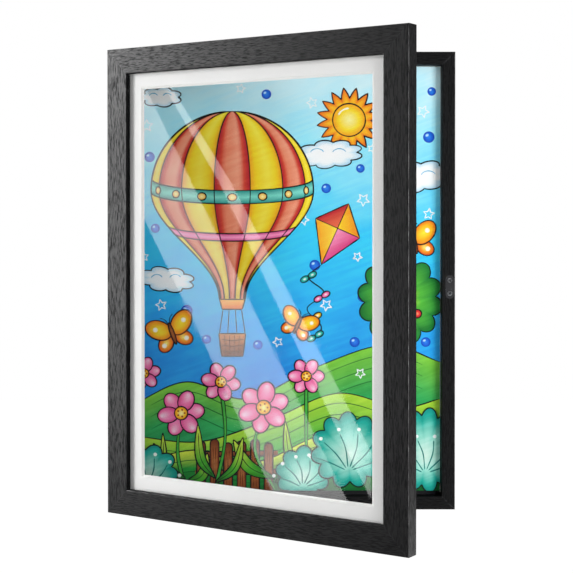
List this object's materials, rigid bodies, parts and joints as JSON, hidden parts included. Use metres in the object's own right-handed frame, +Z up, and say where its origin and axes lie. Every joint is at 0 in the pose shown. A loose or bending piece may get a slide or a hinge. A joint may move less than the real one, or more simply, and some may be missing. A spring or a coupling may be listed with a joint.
{
  "type": "childrens art frame",
  "caption": "Front-opening frame for children's drawings: a shallow wall box with a hinged, glazed and matted door that a magnet holds shut.",
  "frame": {"origin": "on the wall, at the notch of the upper sawtooth hanger, where the nail carries the frame", "axes": "+Z up, +X to the viewer's right, -Y out of the wall towards the viewer"},
  "size_m": [0.241, 0.1579, 0.3194],
  "materials": {
    "black_woodgrain": "black open-pore woodgrain foil on fibreboard, satin",
    "hardboard": "dark hardboard, matt",
    "zinc_plated_steel": "bright zinc plate",
    "black_steel": "black lacquered steel",
    "nickel_plate": "nickel plated magnet",
    "clear_acrylic": "clear polished acrylic",
    "mat_board": "white mat board with a bevelled window",
    "drawing_paper": "white drawing paper",
    "painted_paper": null
  },
  "bodies": {
    "box": {"box_rail_top": "black_woodgrain", "box_rail_bottom": "black_woodgrain", "box_stile_hinge": "black_woodgrain", "box_stile_latch": "black_woodgrain", "box_corner_nails": "zinc_plated_steel", "back_panel": "hardboard", "back_panel_staples": "zinc_plated_steel", "hanger_upright": "zinc_plated_steel", "hanger_sideways": "zinc_plated_steel", "hanger_rivets": "zinc_plated_steel", "keeper_plate": "black_steel", "keeper_screws": "zinc_plated_steel", "stored_drawings": "drawing_paper", "drawing_on_show": "painted_paper", "upper_hinge_box_leaf": "black_steel", "lower_hinge_box_leaf": "black_steel", "upper_hinge_pin": "zinc_plated_steel", "lower_hinge_pin": "zinc_plated_steel", "hinge_screws_box": "zinc_plated_steel"},
    "door": {"door_rail_top": "black_woodgrain", "door_rail_bottom": "black_woodgrain", "door_stile_hinge": "black_woodgrain", "door_stile_latch": "black_woodgrain", "door_corner_nails": "zinc_plated_steel", "acrylic_pane": "clear_acrylic", "mat": "mat_board", "retaining_points": "zinc_plated_steel", "door_magnet": "nickel_plate", "upper_hinge_door_leaf": "black_steel", "lower_hinge_door_leaf": "black_steel", "hinge_screws_door": "zinc_plated_steel"}
  },
  "joints": [
    {"name": "door_hinge", "type": "hinge", "parent": "box", "child": "door", "pos_m": [-0.1195, -0.0195, -0.1407], "axis": [0, 0, -1], "range_deg": [-33.3, 146.7]}
  ]
}
